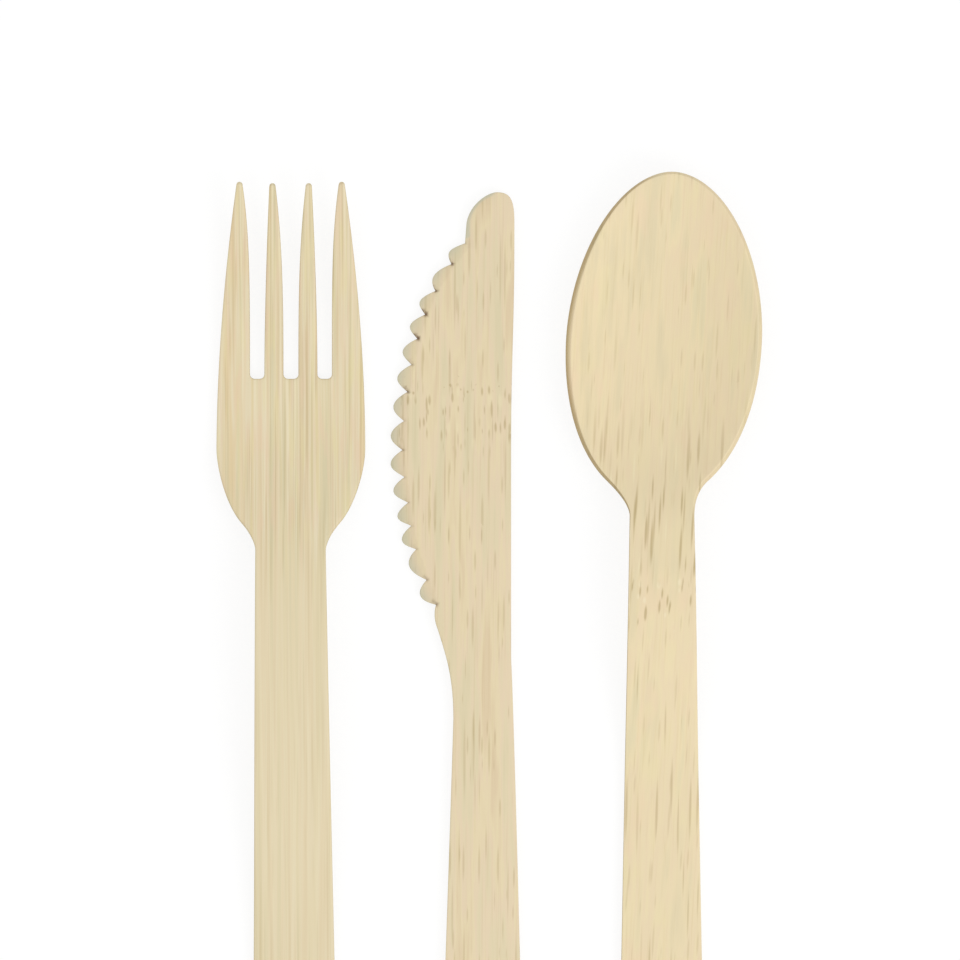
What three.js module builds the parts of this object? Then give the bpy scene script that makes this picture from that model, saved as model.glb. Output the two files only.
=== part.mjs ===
import * as THREE from 'three';
import { mergeGeometries, mergeVertices } from 'three/addons/utils/BufferGeometryUtils.js';

// Bamboo cutlery set: a fork, a knife and a spoon lying side by side.
// Each is one blank cut from a bamboo strip, pressed to its form and tumbled
// until the edges are smooth. Millimetres. The length runs along Y with the
// heads at +Y, X goes across the set, and the set lies on Z = 0. The origin is
// the middle of the footprint.
// A blank is drawn flat, from the top of the head (y = 0) down to the end of
// the handle (y = -length), with x = 0 on its middle line.

// The strip, and the round that tumbling leaves on its edges, which is no more
// than a share of the thickness there.
const stripThickness = 1.7;
const tumbledRadius = 0.35;
const roundShare = 0.3;
const handleEndRound = 6;

// Places of the three on the table. A set-back is how far a head lies behind
// the spoon's.
const forkToKnifeGap = 4.6;
const knifeToSpoonGap = 7.7;
const forkSetBack = 1.9;
const knifeSetBack = 3.8;

// Fork outline. A slot's width is at its foot, and the tines taper and spread
// from there to their tips.
const forkLength = 170;
const forkHeadWidth = 27.1;
const forkHeadWidestAt = 49;
const forkShoulderWidth = 18;
const forkShoulderAt = 62.4;
const forkNeckWidth = 12.8;
const forkNeckAt = 67.5;
const forkHandleWidth = 15.3;
const forkHandleSway = 0.8;
const tineSlotDepth = 36.1;
const tineSlotCorner = 0.85;
const middleSlotWidth = 2.75;
const sideSlotWidth = 2.65;
const sideSlotOffset = 6.15;
const tineTipWidth = 1.15;
const innerTineOffset = 3.3;
const outerTineOffset = 9.3;
const innerTineSetBack = 0.3;

// How sharply the widths of the fork change: the powers of the tapers of its
// head, its slots and its tines, and the steepness of its shoulders.
const headTaper = 1.85;
const middleSlotTaper = 3;
const innerTineTaper = 1.7;
const outerTineTaper = 4;
const shoulderSlope = 1.1;

// Fork side view, as heights of the underside above the table.
const forkTipLift = 4.5;
const forkLowPointAt = 38;
const forkCrestHeight = 5.5;
const forkCrestAt = 82;
const forkHandleFlat = 18;

// Knife outline. The root line runs through the bottoms of the gullets
// between the teeth, and is given by every second one.
const knifeLength = 170;
const knifeTipHeight = 7;
const knifeTipPeak = 2.7;
const knifeTipRound = 2.1;
const knifeTipLeftRound = 1.6;
const knifeTipRightRound = 2;
const knifeSpineAtTip = 5.88;
const knifeSpineAtNeck = 5.28;
const knifeNeckAt = 96;
const knifeNeckWidth = 10.5;
const knifeHandleWidth = 15;
const spineWidensFrom = 85;
const spineWideningPower = 0.85;
const toothCount = 14;
const toothRootLine = [
  [-3.1, -9.3], [-8.5, -18.0], [-11.8, -26.7], [-13.6, -36.4],
  [-14.5, -47.0], [-13.5, -56.6], [-12.0, -65.1], [-8.4, -75.2],
];

// A tooth leaves the gullet above it by the top reach and drop, and comes into
// the one below by the foot reach and rise. They run from the first tooth to
// the last, and the teeth in the middle reach further by the swell.
const toothTopReach = { first: 3.3, last: 3.65 };
const toothTopDrop = { first: 1.2, last: 3.95 };
const toothFootReach = { first: 1.0, last: -0.2 };
const toothFootRise = { first: 2.2, last: 0.1 };
const toothSwell = 1.0;

// The low bump below the last tooth, whose foot lies a little inside the last
// gullet, and the curve from there into the neck.
const bumpReach = 0.6;
const bumpLength = 4.4;
const bumpFootInset = 0.3;
const neckCurveLean = 1.7;
const neckCurveLength = 4.5;
const neckRunIn = 8;

// The bevel pressed along the knife's cutting edge: how far it would run to
// reach its full drop, and how far its crease lies inside the gullets and
// inside the edge of the tip. Across the blade, the crease begins in the middle
// of the tip's top and ends a third of the way in below the teeth.
const bevelRun = 3.0;
const bevelDrop = 1.1;
const gulletBevel = 0.75;
const tipBevel = 1.0;
const creaseShareAtTop = 1 / 2;
const creaseShareBelow = 1 / 3;

// Spoon outline. The bowl is an oval, squarer below its widest place, and it
// leans a little to the right.
const spoonLength = 170;
const bowlWidth = 36.0;
const bowlWidestAt = 30.9;
const bowlBelowWidest = 29.25;
const bowlTopPower = 1.9;
const bowlBasePower = 2.1;
const bowlLean = 0.0465;
const bowlShift = 0.36;
const bowlFilletAt = 25.5;
const spoonNeckWidth = 11.85;
const spoonNeckAt = 62.8;
const spoonHandleWidth = 15.5;

// Spoon side view, as heights of the underside above the table.
const bowlDepth = 4.8;
const spoonCrestHeight = 6.2;
const spoonCrestAt = 75;
const crestRunFrom = 48.5;
const spoonFlatFrom = 114;
const dishFadesFrom = 55;
const dishFadesTo = 72;

// A handle's side swells from the neck to the round end: how far along it most
// of the swell comes, and how much of it by then.
const handleSwellAt = 0.38;
const handleSwell = 0.35;

// Finish.
const bambooEdgeGrain = new THREE.MeshStandardMaterial({ color: 0xe2d3ae, roughness: 0.7, metalness: 0 });
const bambooFlatGrain = new THREE.MeshStandardMaterial({ color: 0xe6d7b2, roughness: 0.7, metalness: 0 });

// Rows and columns that a curved stretch is divided into. The bowl's top and
// the handle ends begin and end with a short straight edge, at these angles.
const handleEndAngle = 84 * THREE.MathUtils.DEG2RAD;
const endRows = 7;
const curveRows = 6;
const tineRows = 9;
const cornerSteps = 3;
const palmRows = 3;
const knifeTipRows = 8;
const toothRows = 8;
const bowlTopAngle = 5 * THREE.MathUtils.DEG2RAD;
const bowlRows = 11;
const handleRows = 14;
const bowlColumns = 8;

// A point of a flat blank. Its height is the thickness that the blank has there.
function flatPoint(x, y, thickness = stripThickness) {
  return new THREE.Vector3(x, y, thickness);
}

// Points of a three.js curve as points of a blank, without its first one.
function along(curve, rows) {
  return curve.getPoints(rows).slice(1).map((point) => flatPoint(point.x, point.y));
}

// A strip of a blank between a left and a right edge, each given from the head
// to the handle by as many points, one to a row.
function strip(left, right, columns = 1) {
  const plane = new THREE.PlaneGeometry(1, 1, columns, left.length - 1);
  const position = plane.attributes.position;
  const point = new THREE.Vector3();
  for (let i = 0; i < position.count; i++) {
    const row = Math.floor(i / (columns + 1));
    const share = (i % (columns + 1)) / columns;
    point.lerpVectors(left[row], right[row], share);
    position.setXYZ(i, point.x, point.y, point.z);
  }
  plane.deleteAttribute('normal');
  plane.deleteAttribute('uv');
  return plane;
}

// The edges of a flat mesh that only one of its triangles has. The blank lies
// on the left of each.
function borderEdges(triangles) {
  const edges = new Map();
  for (let i = 0; i < triangles.length; i += 3) {
    for (let corner = 0; corner < 3; corner++) {
      const from = triangles[i + corner];
      const to = triangles[i + (corner + 1) % 3];
      if (!edges.delete(`${to} ${from}`)) {
        edges.set(`${from} ${to}`, [from, to]);
      }
    }
  }
  return [...edges.values()];
}

// The direction out of the blank at each point of its border, as long as a
// mitre there needs.
function borderNormals(position, border) {
  const normals = new Map();
  const longestMitre = 1.4;
  for (const [from, to] of border) {
    const dx = position.getX(to) - position.getX(from);
    const dy = position.getY(to) - position.getY(from);
    const normal = new THREE.Vector2(dy, -dx).normalize();
    for (const end of [from, to]) {
      const other = normals.get(end);
      if (other) {
        const mitre = other.clone().add(normal).divideScalar(1 + other.dot(normal));
        normals.set(end, mitre.clampLength(0, longestMitre));
      } else {
        normals.set(end, normal);
      }
    }
  }
  return normals;
}

// A blank with its thickness, made of strips that meet edge to edge. The two
// faces end short of the outline, and a rim with rounded edges joins them.
function blank(strips) {
  const sameDistance = 1e-3;
  const flat = mergeVertices(mergeGeometries(strips), sameDistance);
  const position = flat.attributes.position;
  const triangles = flat.index.array;
  const border = borderEdges(triangles);
  const normals = borderNormals(position, border);
  const points = [];
  const faces = [];
  const rings = [];

  function add(x, y, z) {
    points.push(x, y, z);
    return points.length / 3 - 1;
  }

  for (let i = 0; i < position.count; i++) {
    const x = position.getX(i);
    const y = position.getY(i);
    const thickness = position.getZ(i);
    const normal = normals.get(i);
    if (normal) {
      const round = Math.min(tumbledRadius, thickness * roundShare);
      const cut = round * (1 - Math.SQRT1_2);
      const profile = [[round, 0], [cut, cut], [0, round]];
      const rim = (inset, z) => add(x - inset * normal.x, y - inset * normal.y, z);
      const upper = profile.map(([inset, depth]) => rim(inset, thickness - depth));
      const lower = profile.map(([inset, depth]) => rim(inset, depth));
      rings.push([...upper, ...lower.reverse()]);
    } else {
      rings.push([add(x, y, thickness), add(x, y, 0)]);
    }
  }
  for (let i = 0; i < triangles.length; i += 3) {
    const [a, b, c] = [rings[triangles[i]], rings[triangles[i + 1]], rings[triangles[i + 2]]];
    faces.push(a[0], b[0], c[0]);
    faces.push(a[a.length - 1], c[c.length - 1], b[b.length - 1]);
  }
  for (const [from, to] of border) {
    for (let level = 0; level + 1 < rings[from].length; level++) {
      faces.push(rings[from][level], rings[from][level + 1], rings[to][level + 1]);
      faces.push(rings[from][level], rings[to][level + 1], rings[to][level]);
    }
  }
  const geometry = new THREE.BufferGeometry();
  geometry.setAttribute('position', new THREE.Float32BufferAttribute(points, 3));
  geometry.setIndex(faces);
  return geometry;
}

// Pressing: each point of the blank moves to the same place on the formed
// underside, and as far out from it as it lay above the flat one.
function pressed(geometry, underside) {
  const position = geometry.attributes.position;
  const reach = 0.05;
  const normal = new THREE.Vector3();
  const point = new THREE.Vector3();
  for (let i = 0; i < position.count; i++) {
    const x = position.getX(i);
    const y = position.getY(i);
    normal.set(
      underside(x - reach, y) - underside(x + reach, y),
      underside(x, y - reach) - underside(x, y + reach),
      2 * reach,
    ).normalize();
    point.set(x, y, underside(x, y)).addScaledVector(normal, position.getZ(i));
    position.setXYZ(i, point.x, point.y, point.z);
  }
  return geometry;
}

// A smooth rise from 0 to 1 between two distances from the top of the head.
function rise(y, from, to) {
  return THREE.MathUtils.smootherstep(-y, from, to);
}

// One side of a handle's round end. The last row is a short straight edge.
function handleEnd(side, halfWidth, length) {
  const points = [];
  for (let row = 1; row <= endRows; row++) {
    const angle = handleEndAngle * row / endRows;
    const reach = handleEndRound * Math.sin(angle) / Math.sin(handleEndAngle);
    points.push(flatPoint(side * halfWidth * Math.cos(angle), -length + handleEndRound - reach));
  }
  return points;
}

// The right side of one tine from its tip to the foot of the slot: a quarter
// round, a tapering flank, and the slot's corner where there is one.
function tineSide(tip, foot, side) {
  const tipRound = tineTipWidth / 2;
  const tipBase = -tip.setBack - tipRound;
  const points = [];
  for (let step = 1; step < cornerSteps; step++) {
    const angle = Math.PI / 2 * step / cornerSteps;
    points.push(flatPoint(
      tip.offset + side * tipRound * Math.sin(angle), tipBase + tipRound * Math.cos(angle)));
  }
  const footAt = -tineSlotDepth + tineSlotCorner;
  for (let row = 0; row <= tineRows; row++) {
    const y = tipBase + (footAt - tipBase) * row / tineRows;
    const share = Math.max(0, (y + foot.straightFrom) / (tipBase + foot.straightFrom));
    const spread = tip.offset + side * tipRound - foot.x;
    points.push(flatPoint(foot.x + spread * share ** foot.power, y));
  }
  for (let step = 1; step <= cornerSteps; step++) {
    const angle = Math.PI / 2 * step / cornerSteps;
    const y = footAt - tineSlotCorner * Math.sin(angle);
    if (foot.corner) {
      points.push(flatPoint(foot.x + side * tineSlotCorner * (1 - Math.cos(angle)), y));
    } else {
      points.push(flatPoint(headSide(y), y));
    }
  }
  return points;
}

// How far the fork's head reaches from its middle line, down to its widest
// place.
function headSide(y) {
  const tipRound = tineTipWidth / 2;
  const share = Math.max(0, (y + forkHeadWidestAt) / (forkHeadWidestAt - tipRound));
  const atTip = outerTineOffset + tipRound;
  return forkHeadWidth / 2 + (atTip - forkHeadWidth / 2) * share ** headTaper;
}

function forkStrips() {
  const innerTip = { offset: innerTineOffset, setBack: innerTineSetBack };
  const outerTip = { offset: outerTineOffset, setBack: 0 };
  const straightFrom = tineSlotDepth - tineSlotCorner;
  const slotFoot = (x, power) => ({ x, power, straightFrom, corner: true });
  const middleFoot = slotFoot(middleSlotWidth / 2, middleSlotTaper);
  const innerFoot = slotFoot(sideSlotOffset - sideSlotWidth / 2, innerTineTaper);
  const outerFoot = slotFoot(sideSlotOffset + sideSlotWidth / 2, outerTineTaper);
  const headFoot = {
    x: forkHeadWidth / 2, straightFrom: forkHeadWidestAt, power: headTaper, corner: false,
  };
  const tineSides = [
    tineSide(innerTip, middleFoot, -1),
    tineSide(innerTip, innerFoot, 1),
    tineSide(outerTip, outerFoot, -1),
    tineSide(outerTip, headFoot, 1),
  ];

  // The solid part below the slots, as lanes that carry on from the tines and
  // from the slots between them.
  const side = [];
  for (let row = 0; row <= palmRows; row++) {
    const y = -tineSlotDepth - (forkHeadWidestAt - tineSlotDepth) * row / palmRows;
    side.push(flatPoint(headSide(y), y));
  }
  const shoulder = new THREE.Path();
  const widest = forkHeadWidth / 2;
  const shoulderSide = forkShoulderWidth / 2;
  const neckSide = forkNeckWidth / 2;
  shoulder.moveTo(widest, -forkHeadWidestAt);
  shoulder.quadraticCurveTo(
    widest, -forkShoulderAt + (widest - shoulderSide) * shoulderSlope, shoulderSide, -forkShoulderAt);
  shoulder.quadraticCurveTo(
    neckSide, -forkShoulderAt - (shoulderSide - neckSide) * shoulderSlope, neckSide, -forkNeckAt);
  side.push(...along(shoulder, curveRows));
  side.push(...along(handleCurve(neckSide, forkNeckAt, forkHandleWidth / 2, forkLength), handleRows));
  side.push(...handleEnd(1, forkHandleWidth / 2, forkLength));

  const feet = tineSides.map((points) => points[points.length - 1].x);
  const lanes = [...feet.map((x) => -x).reverse(), ...feet].map((x) => x / side[0].x);
  const edges = lanes.map((share) => side.map((point) => flatPoint(share * point.x, point.y)));
  const strips = edges.slice(1).map((edge, lane) => strip(edges[lane], edge));
  const mirrored = (points) => points.map((point) => flatPoint(-point.x, point.y));
  const [middle, inner, outer, head] = tineSides;
  strips.push(strip(middle, inner), strip(outer, head));
  strips.push(strip(mirrored(inner), mirrored(middle)), strip(mirrored(head), mirrored(outer)));
  return strips;
}

// A handle's side, widening gently from the neck to where its end begins.
function handleCurve(neckSide, neckAt, endSide, length) {
  const endAt = length - handleEndRound;
  return new THREE.QuadraticBezierCurve(
    new THREE.Vector2(neckSide, -neckAt),
    new THREE.Vector2(
      THREE.MathUtils.lerp(neckSide, endSide, handleSwell),
      -THREE.MathUtils.lerp(neckAt, endAt, handleSwellAt)),
    new THREE.Vector2(endSide, -endAt),
  );
}

function fork() {
  const underside = (x, y) => {
    const aboveLowPoint = Math.max(0, 1 + y / forkLowPointAt);
    const neck = forkCrestHeight * rise(y, forkLowPointAt, forkCrestAt);
    const fall = 1 - rise(y, forkCrestAt, forkLength - forkHandleFlat);
    return forkTipLift * aboveLowPoint ** 2 + neck * fall;
  };
  const geometry = pressed(blank(forkStrips()), underside);

  // The handle runs a little to the right of the head's middle line.
  const position = geometry.attributes.position;
  for (let i = 0; i < position.count; i++) {
    const down = Math.max(0, -position.getY(i) - forkNeckAt);
    position.setX(i, position.getX(i) + forkHandleSway * down / (forkLength - forkNeckAt));
  }
  return geometry;
}

// The spine's distance from the knife's middle line.
function spineSide(y) {
  const toNeck = rise(y, knifeTipHeight, knifeNeckAt / 2);
  const blade = knifeSpineAtTip + (knifeSpineAtNeck - knifeSpineAtTip) * toNeck;
  const endAt = knifeLength - handleEndRound;
  const share = Math.max(0, (-y - spineWidensFrom) / (endAt - spineWidensFrom));
  return blade + (knifeHandleWidth / 2 - knifeSpineAtNeck) * share ** spineWideningPower;
}

// The knife from its tip to the handle's end, as three lines of points: the
// outer edge, the crease where the bevel begins, and the spine.
function knifeLines() {
  const rootCurve = new THREE.SplineCurve(toothRootLine.map(([x, y]) => new THREE.Vector2(x, y)));
  const firstRoot = rootCurve.points[0];
  const lastRoot = rootCurve.points[rootCurve.points.length - 1];
  const outer = [];
  const crease = [];
  const spine = [];

  function addRow(edge, creasePoint, spinePoint) {
    const share = Math.min(1, edge.distanceTo(creasePoint) / bevelRun);
    outer.push(flatPoint(edge.x, edge.y, stripThickness - bevelDrop * share));
    crease.push(flatPoint(creasePoint.x, creasePoint.y));
    spine.push(flatPoint(spinePoint.x, spinePoint.y));
  }

  // Round the tip, with the bevel on its left.
  const peak = new THREE.Vector2(knifeTipPeak, 0);
  const leftOfTip = new THREE.CubicBezierCurve(
    peak,
    new THREE.Vector2(knifeTipPeak - knifeTipRound, 0),
    new THREE.Vector2(firstRoot.x, -knifeTipLeftRound),
    new THREE.Vector2(firstRoot.x, -knifeTipHeight),
  );
  const rightOfTip = new THREE.CubicBezierCurve(
    peak,
    new THREE.Vector2(knifeTipPeak + knifeTipRound, 0),
    new THREE.Vector2(knifeSpineAtTip, -knifeTipRightRound),
    new THREE.Vector2(knifeSpineAtTip, -knifeTipHeight),
  );
  const creaseShare = tipBevel / (knifeSpineAtTip - firstRoot.x);
  for (let row = 1; row <= knifeTipRows; row++) {
    const share = row / knifeTipRows;
    const left = leftOfTip.getPoint(share);
    const right = rightOfTip.getPoint(share);
    const fromLeft = THREE.MathUtils.lerp(creaseShareAtTop, creaseShare, share);
    addRow(left, left.clone().lerp(right, fromLeft), right);
  }

  // Each tooth is one lobe between two gullets. The lobes near the tip swell
  // on the side of the tip, and those below on the side of the handle.
  for (let tooth = 0; tooth < toothCount; tooth++) {
    const from = rootCurve.getPoint(tooth / toothCount);
    const to = rootCurve.getPoint((tooth + 1) / toothCount);
    const down = tooth / (toothCount - 1);
    const at = ({ first, last }) => THREE.MathUtils.lerp(first, last, down);
    const swell = toothSwell * 4 * down * (1 - down);
    const lobe = new THREE.CubicBezierCurve(
      from,
      new THREE.Vector2(from.x - at(toothTopReach) - swell, from.y - at(toothTopDrop)),
      new THREE.Vector2(to.x - at(toothFootReach) - swell, to.y + at(toothFootRise)),
      to,
    );
    for (let row = 0; row < toothRows; row++) {
      const share = row / toothRows;
      const root = rootCurve.getPoint((tooth + share) / toothCount);
      root.x += gulletBevel;
      addRow(lobe.getPointAt(share), root, new THREE.Vector2(spineSide(root.y), root.y));
    }
  }

  // Below the teeth: the low bump, the curve into the neck, and the handle.
  // There is no bevel there, and the middle line takes the crease's place.
  const neckLeft = knifeSpineAtNeck - knifeNeckWidth;
  const below = new THREE.Path();
  const bumpEnd = new THREE.Vector2(lastRoot.x + bumpFootInset, lastRoot.y - bumpLength);
  below.moveTo(lastRoot.x, lastRoot.y);
  below.quadraticCurveTo(
    lastRoot.x - bumpReach, lastRoot.y - bumpLength / 2,
    bumpEnd.x, bumpEnd.y);
  below.bezierCurveTo(
    lastRoot.x + neckCurveLean, bumpEnd.y - neckCurveLength,
    neckLeft, -knifeNeckAt + neckRunIn,
    neckLeft, -knifeNeckAt);
  const endSide = knifeHandleWidth / 2;
  const handle = along(handleCurve(-neckLeft, knifeNeckAt, endSide, knifeLength), handleRows);
  const leftSide = [
    ...below.getPoints(curveRows).map((point) => flatPoint(point.x, point.y)),
    ...handle.map((point) => flatPoint(-point.x, point.y)),
  ];
  const rightSide = leftSide.map((point) => flatPoint(spineSide(point.y), point.y));
  leftSide.push(...handleEnd(-1, endSide, knifeLength));
  rightSide.push(...handleEnd(1, endSide, knifeLength));
  outer.push(...leftSide);
  spine.push(...rightSide);
  crease.push(...leftSide.map((point, row) => point.clone().lerp(rightSide[row], creaseShareBelow)));
  return [outer, crease, spine];
}

function knife() {
  const [outer, crease, spine] = knifeLines();
  return blank([strip(outer, crease), strip(crease, spine, 2)]);
}

// The bowl's middle line at a height of the outline, and its half width there.
function bowlMiddle(y) {
  return bowlShift + bowlLean * (y + bowlWidestAt);
}

function bowlHalfWidth(y) {
  const above = y > -bowlWidestAt;
  const reach = above ? bowlWidestAt : bowlBelowWidest;
  const power = above ? bowlTopPower : bowlBasePower;
  const share = Math.min(1, Math.abs(y + bowlWidestAt) / reach);
  return bowlWidth / 2 * (1 - share ** power) ** (1 / power);
}

// One side of the spoon, from the top of the bowl to the handle's end.
function spoonSide(side) {
  const at = (y) => flatPoint(bowlMiddle(y) + side * bowlHalfWidth(y), y);
  const points = [];
  for (let row = 0; row < bowlRows; row++) {
    const angle = THREE.MathUtils.lerp(bowlTopAngle, Math.PI / 2, row / bowlRows);
    points.push(at(-bowlWidestAt + bowlWidestAt * Math.cos(angle)));
  }
  const filletFrom = -bowlWidestAt - bowlFilletAt;
  for (let row = 0; row <= bowlRows; row++) {
    points.push(at(-bowlWidestAt - bowlFilletAt * Math.sin(row / bowlRows * Math.PI / 2)));
  }

  // The fillet leaves the bowl along its tangent and runs into the neck.
  const neckSide = spoonNeckWidth / 2;
  const start = at(filletFrom);
  const step = 0.1;
  const slope = (start.x - at(filletFrom + step).x) / step;
  const corner = filletFrom - Math.abs((start.x - side * neckSide) / slope);
  const fillet = new THREE.QuadraticBezierCurve(
    new THREE.Vector2(start.x, start.y),
    new THREE.Vector2(side * neckSide, corner),
    new THREE.Vector2(side * neckSide, -spoonNeckAt));
  const endSide = spoonHandleWidth / 2;
  points.push(...along(fillet, curveRows));
  const handle = along(handleCurve(neckSide, spoonNeckAt, endSide, spoonLength), handleRows);
  points.push(...handle.map((point) => flatPoint(side * point.x, point.y)));
  points.push(...handleEnd(side, endSide, spoonLength));
  return points;
}

function spoon() {
  const underside = (x, y) => {
    const below = -y - bowlWidestAt;
    const reach = below < 0 ? bowlWidestAt : bowlBelowWidest;
    const across = (x - bowlMiddle(y)) / (bowlWidth / 2);
    const dish = bowlDepth * across ** 2 * (1 - rise(y, dishFadesFrom, dishFadesTo));
    const bowl = Math.min(bowlDepth * (below / reach) ** 2, spoonCrestHeight);
    const toCrest = rise(y, crestRunFrom, spoonCrestAt);
    const lengthwise = THREE.MathUtils.lerp(bowl, spoonCrestHeight, toCrest);
    return dish + lengthwise * (1 - rise(y, spoonCrestAt, spoonFlatFrom));
  };
  return pressed(blank([strip(spoonSide(-1), spoonSide(1), bowlColumns)]), underside);
}

// A piece with its own name and material. It lies to the right of the piece
// before it, and its head lies back from the spoon's by a set-back.
function lay(name, geometry, material, leftEdge, setBack) {
  const mesh = new THREE.Mesh(geometry, material);
  mesh.name = name;
  geometry.computeBoundingBox();
  mesh.position.set(leftEdge - geometry.boundingBox.min.x, -setBack, 0);
  return mesh;
}

function rightEdge(mesh) {
  return mesh.position.x + mesh.geometry.boundingBox.max.x;
}

const forkMesh = lay('fork', fork(), bambooEdgeGrain, 0, forkSetBack);
const knifeLeft = rightEdge(forkMesh) + forkToKnifeGap;
const knifeMesh = lay('knife', knife(), bambooFlatGrain, knifeLeft, knifeSetBack);
const spoonLeft = rightEdge(knifeMesh) + knifeToSpoonGap;
const spoonMesh = lay('spoon', spoon(), bambooFlatGrain, spoonLeft, 0);

const cutlerySet = new THREE.Group();
cutlerySet.name = 'cutlery_set';
cutlerySet.add(forkMesh, knifeMesh, spoonMesh);

const bounds = new THREE.Box3().setFromObject(cutlerySet);
const centre = bounds.getCenter(new THREE.Vector3());
cutlerySet.position.set(-centre.x, -centre.y, -bounds.min.z);

export default cutlerySet;
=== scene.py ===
import bmesh
import bpy
import math
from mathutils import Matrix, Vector
from mathutils.geometry import interpolate_bezier, intersect_point_line


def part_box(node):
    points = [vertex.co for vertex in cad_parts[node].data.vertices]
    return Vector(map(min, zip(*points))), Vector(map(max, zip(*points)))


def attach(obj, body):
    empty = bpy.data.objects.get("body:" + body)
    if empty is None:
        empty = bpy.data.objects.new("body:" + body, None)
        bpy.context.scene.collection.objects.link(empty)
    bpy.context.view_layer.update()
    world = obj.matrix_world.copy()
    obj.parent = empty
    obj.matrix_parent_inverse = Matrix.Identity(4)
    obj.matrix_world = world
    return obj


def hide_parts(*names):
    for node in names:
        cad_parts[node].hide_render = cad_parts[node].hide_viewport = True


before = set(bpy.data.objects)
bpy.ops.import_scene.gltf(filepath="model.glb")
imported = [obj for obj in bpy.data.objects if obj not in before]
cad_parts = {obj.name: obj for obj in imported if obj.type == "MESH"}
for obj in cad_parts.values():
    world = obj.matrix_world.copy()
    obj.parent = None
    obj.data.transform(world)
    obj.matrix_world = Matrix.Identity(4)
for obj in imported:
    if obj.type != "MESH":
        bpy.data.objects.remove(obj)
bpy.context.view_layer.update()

# The fork is one blank cut from a strip of edge-grain bamboo, so long straight fibres run all
# through it. It is hot pressed until its tines curve up and its neck arches, and then tumbled
# smooth. Blanks are drawn in millimetres, flat, from the head's top at y = 0 down, about x = 0.
STRIP_THICKNESS = 1.7
BLANK_LENGTH = 170.0
HANDLE_END_ROUND, END_POINTS = 6.0, 11
BELLY_WIDTH, BELLY_PLACE = 0.35, 0.38
HAIR = 1e-4


def climb(y, start, end):
    """How far a smooth climb has come, from 0 to 1, between two distances below the head's top."""
    share = min(1.0, max(0.0, (-y - start) / (end - start)))
    return share ** 3 * (share * (6 * share - 15) + 10)


def bow(first, *rest, points):
    """Points of joined cubic curves, without the first point: each curve is two handles and an end."""
    line = []
    knot = Vector(first).to_3d()
    for start in range(0, len(rest), 3):
        leave, arrive, end = (Vector(rest[start + step]).to_3d() for step in range(3))
        line += [(p.x, p.y) for p in interpolate_bezier(knot, leave, arrive, end, points)[1:]]
        knot = end
    return line


def bent_towards(start, bend, end, points):
    """Points of a plain curve that is drawn towards a bend, without its first point."""
    leave = [(start[axis] + 2 * bend[axis]) / 3 for axis in range(2)]
    arrive = [(end[axis] + 2 * bend[axis]) / 3 for axis in range(2)]
    return bow(start, leave, arrive, end, points=points)


def handle_side(neck_half, neck_at, end_half, side=1):
    """One side of a handle, from the neck to the middle of its rounded end."""
    end_at = BLANK_LENGTH - HANDLE_END_ROUND
    belly = (neck_half * (1 - BELLY_WIDTH) + end_half * BELLY_WIDTH,
             -neck_at * (1 - BELLY_PLACE) - end_at * BELLY_PLACE)
    line = bent_towards((neck_half, -neck_at), belly, (end_half, -end_at), points=24)
    for step in range(1, END_POINTS + 1):
        angle = math.radians(90) * step / END_POINTS
        line.append((end_half * math.cos(angle), -end_at - HANDLE_END_ROUND * math.sin(angle)))
    return [(side * x, y) for x, y in line]


def cut_blank(regions, tumbled):
    """Cuts a blank through the strip, one face for each region, and tumbles its rims to a radius."""
    blank = bmesh.new()
    corners = {}
    for region in regions:
        places = [(round(x, 3), round(y, 3)) for x, y in region]
        for place, (x, y) in zip(places, region):
            if place not in corners:
                corners[place] = blank.verts.new((x, y, 0))
        loop = [corners[place] for place in places]
        blank.faces.new([v for v, before in zip(loop, [loop[-1]] + loop[:-1]) if v is not before])
    bmesh.ops.recalc_face_normals(blank, faces=blank.faces[:])
    bmesh.ops.solidify(blank, geom=blank.faces[:], thickness=STRIP_THICKNESS)
    low = min(v.co.z for v in blank.verts)
    bmesh.ops.translate(blank, vec=(0, 0, -low), verts=blank.verts[:])
    bmesh.ops.recalc_face_normals(blank, faces=blank.faces[:])
    rims = [e for e in blank.edges if abs(e.verts[0].co.z - e.verts[1].co.z) < HAIR
            and any(abs(f.normal.z) < 0.5 for f in e.link_faces)]
    bmesh.ops.bevel(blank, geom=rims, offset=tumbled, offset_type="OFFSET", segments=3, profile=0.5,
                    affect="EDGES", material=-1, clamp_overlap=False)
    return blank


def score(blank, axis, start, step, count):
    """Cuts the whole blank along evenly spaced straight lines, so that it can be bent there."""
    direction = Vector((axis == "x", axis == "y", 0))
    for line in range(count):
        bmesh.ops.bisect_plane(blank, geom=blank.verts[:] + blank.edges[:] + blank.faces[:], dist=HAIR,
                               plane_co=direction * (start + step * line), plane_no=direction)


NUDGE = 0.05


def press(blank, underside):
    """Presses a blank: each point keeps its height above the underside, measured square to it."""
    for vert in blank.verts:
        x, y, height = vert.co
        square = Vector((underside(x - NUDGE, y) - underside(x + NUDGE, y),
                         underside(x, y - NUDGE) - underside(x, y + NUDGE), 2 * NUDGE)).normalized()
        vert.co = Vector((x, y, underside(x, y))) + square * height


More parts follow.
